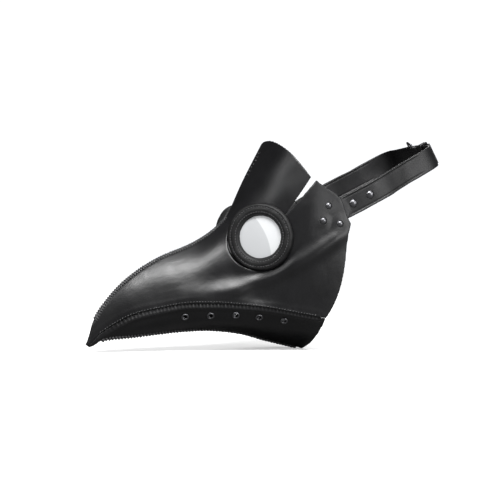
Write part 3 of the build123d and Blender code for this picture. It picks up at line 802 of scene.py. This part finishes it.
def filler_mesh(side):
    """A short strip that closes the joint line between the anchor tab and the strap."""
    sign = 1 if side == "left" else -1
    strap_points = coords(NODES[f"{side}_strap"].data)
    run, over = strap_axes(strap_points)
    near = strap_points[(run < 16 * MM) & (strap_points[:, 0] * sign > 0)]
    x_mid = (np.abs(near[:, 0]).max() + np.abs(near[:, 0]).min()) / 2
    build = bmesh.new()
    bmesh.ops.create_cube(build, size=1.0)
    basis = Matrix((Vector((1, 0, 0)), Vector(back), Vector(across))).transposed().to_4x4()
    size = Matrix.Diagonal((1.9 * MM, 12 * MM, 25.2 * MM, 1))
    centre = Vector(pivot) + Vector(back) * 10 * MM
    centre.x = x_mid * sign
    bmesh.ops.transform(build, matrix=Matrix.Translation(centre) @ basis @ size, verts=build.verts)
    mesh = bpy.data.meshes.new(f"{side}_filler")
    build.to_mesh(mesh)
    build.free()
    return mesh


for side in ("left", "right"):
    strap_nodes = [f"{side}_strap", f"{side}_strap_anchor"]
    strap = solid_copy(f"{side}_strap_leather", strap_nodes, STRAP, 0.7, filler_mesh(side), 3)
    dress_strap(strap, STRAP_HALF_WIDTH)
    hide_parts(*strap_nodes)
    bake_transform(strap)
    lining = solid_copy(f"{side}_strap_backing", [f"{side}_strap_lining"], STRAP, 0.7, None, 2)
    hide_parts(f"{side}_strap_lining")
    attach(lining, "harness")

keeper = solid_copy("keeper_leather", ["keeper_loop"], STRAP, 0.5, None, 2)
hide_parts("keeper_loop")
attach(keeper, "keeper")
# Node, the body it rides and how finely its surface is remade, in mm
BUCKLE_PIECES = [
    ("buckle_frame", "buckle", 0.3),
    ("buckle_prong", "prong", 0.25),
    ("buckle_fold_rivet", "harness", 0.25),
]
for node, body, voxel in BUCKLE_PIECES:
    shape = solid_copy(f"{node}_metal", [node], GUNMETAL, voxel, None, 2)
    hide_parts(node)
    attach(shape, body)
for side in ("left", "right"):
    retainer = solid_copy(f"{side}_lens_clamp", [f"{side}_lens_retainer"], GUNMETAL, 0.5, None, 2)
    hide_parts(f"{side}_lens_retainer")
    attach(retainer, "mask")


# ---------------------------------------------------------------- stage, lights and camera
def plain(name, colour, rough):
    """A plain painted surface."""
    material, nodes, links, shader = new_material(name)
    shader.inputs["Base Color"].default_value = (*colour, 1)
    shader.inputs["Roughness"].default_value = rough
    return material


low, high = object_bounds()
floor_paint = plain("floor", (0.85, 0.85, 0.85), 0.8)
floor_shader = floor_paint.node_tree.nodes["Principled BSDF"]
floor_tree = floor_paint.node_tree
floor_shader.inputs["Emission Color"].default_value = (1, 1, 1, 1)
# The floor is pale to the eye, glows more far away so that it meets the sky without a line,
# and throws little light back up into the dark leather
floor_place = floor_tree.nodes.new("ShaderNodeNewGeometry")
floor_range = floor_tree.nodes.new("ShaderNodeVectorMath")
floor_range.operation = "LENGTH"
floor_tree.links.new(floor_place.outputs["Position"], floor_range.inputs[0])
floor_glow = floor_tree.nodes.new("ShaderNodeMapRange")
floor_glow.inputs["From Min"].default_value = 0.5
floor_glow.inputs["From Max"].default_value = 1.5
floor_glow.inputs["To Min"].default_value = 0.45
floor_glow.inputs["To Max"].default_value = 1.0
floor_tree.links.new(floor_range.outputs["Value"], floor_glow.inputs["Value"])
floor_seen = floor_tree.nodes.new("ShaderNodeLightPath")
floor_strength = floor_tree.nodes.new("ShaderNodeMath")
floor_strength.operation = "MULTIPLY"
floor_tree.links.new(floor_glow.outputs["Result"], floor_strength.inputs[0])
floor_tree.links.new(floor_seen.outputs["Is Camera Ray"], floor_strength.inputs[1])
floor_tree.links.new(floor_strength.outputs["Value"], floor_shader.inputs["Emission Strength"])
floor_tone = floor_tree.nodes.new("ShaderNodeMapRange")
floor_tone.inputs["To Min"].default_value = 0.12
floor_tone.inputs["To Max"].default_value = 0.85
floor_tree.links.new(floor_seen.outputs["Is Camera Ray"], floor_tone.inputs["Value"])
floor_tree.links.new(floor_tone.outputs["Result"], floor_shader.inputs["Base Color"])
FLOOR_REACH = 6
floor_corners = [(x, y, low[2]) for x, y in ((-1, -1), (1, -1), (1, 1), (-1, 1))]
floor_corners = [(x * FLOOR_REACH, y * FLOOR_REACH, z) for x, y, z in floor_corners]
floor = make_object("floor", floor_corners, [(0, 1, 2, 3)], floor_paint, False)


def area_light(name, place, target, size, power):
    """A soft rectangular lamp aimed at a target."""
    data = bpy.data.lights.new(name, "AREA")
    data.shape = "RECTANGLE"
    data.size = size[0]
    data.size_y = size[1]
    data.energy = power
    lamp = bpy.data.objects.new(name, data)
    lamp.location = place
    lamp.rotation_euler = (Vector(target) - Vector(place)).to_track_quat("-Z", "Y").to_euler()
    bpy.context.scene.collection.objects.link(lamp)


area_light("key", (1.0, -0.3, 1.25), (0, -0.12, -0.03), (1.1, 0.26), 42)
area_light("front", (0.55, -1.35, 0.75), (0, -0.1, -0.02), (0.5, 0.5), 4)
area_light("side", (1.5, 0.75, 0.35), (0.05, -0.05, -0.02), (0.9, 0.9), 14)
area_light("rim", (-0.9, 0.7, 1.1), (0, -0.05, 0), (0.9, 0.5), 12)
world = bpy.data.worlds.new("studio")
world.use_nodes = True
sky = world.node_tree.nodes
background = sky["Background"]
background.inputs["Color"].default_value = (0.93, 0.94, 0.96, 1)
seen = sky.new("ShaderNodeLightPath")
power = sky.new("ShaderNodeMapRange")
power.inputs["To Min"].default_value = 0.05
power.inputs["To Max"].default_value = 1.15
world.node_tree.links.new(seen.outputs["Is Camera Ray"], power.inputs["Value"])
world.node_tree.links.new(power.outputs["Result"], background.inputs["Strength"])
bpy.context.scene.world = world

CAMERA_AZIMUTH = 70.0
CAMERA_ELEVATION = 0.0
CAMERA_DISTANCE = 1.7
FRAME_WIDTH = 0.575
azimuth = math.radians(CAMERA_AZIMUTH)
screen_right = Vector((math.cos(azimuth), math.sin(azimuth), 0))
climb = math.tan(math.radians(CAMERA_ELEVATION))
toward = Vector((math.sin(azimuth), -math.cos(azimuth), climb)).normalized()
target = screen_right * -0.090 + toward * 0.06 + Vector((0, 0, -0.015))
camera_data = bpy.data.cameras.new("camera")
camera_data.sensor_width = 36
camera_data.lens = 36 * CAMERA_DISTANCE / FRAME_WIDTH
camera = bpy.data.objects.new("camera", camera_data)
camera.location = target + toward * CAMERA_DISTANCE
camera.rotation_euler = (-toward).to_track_quat("-Z", "Y").to_euler()
bpy.context.scene.collection.objects.link(camera)
bpy.context.scene.camera = camera

bpy.context.scene.view_settings.view_transform = "Standard"
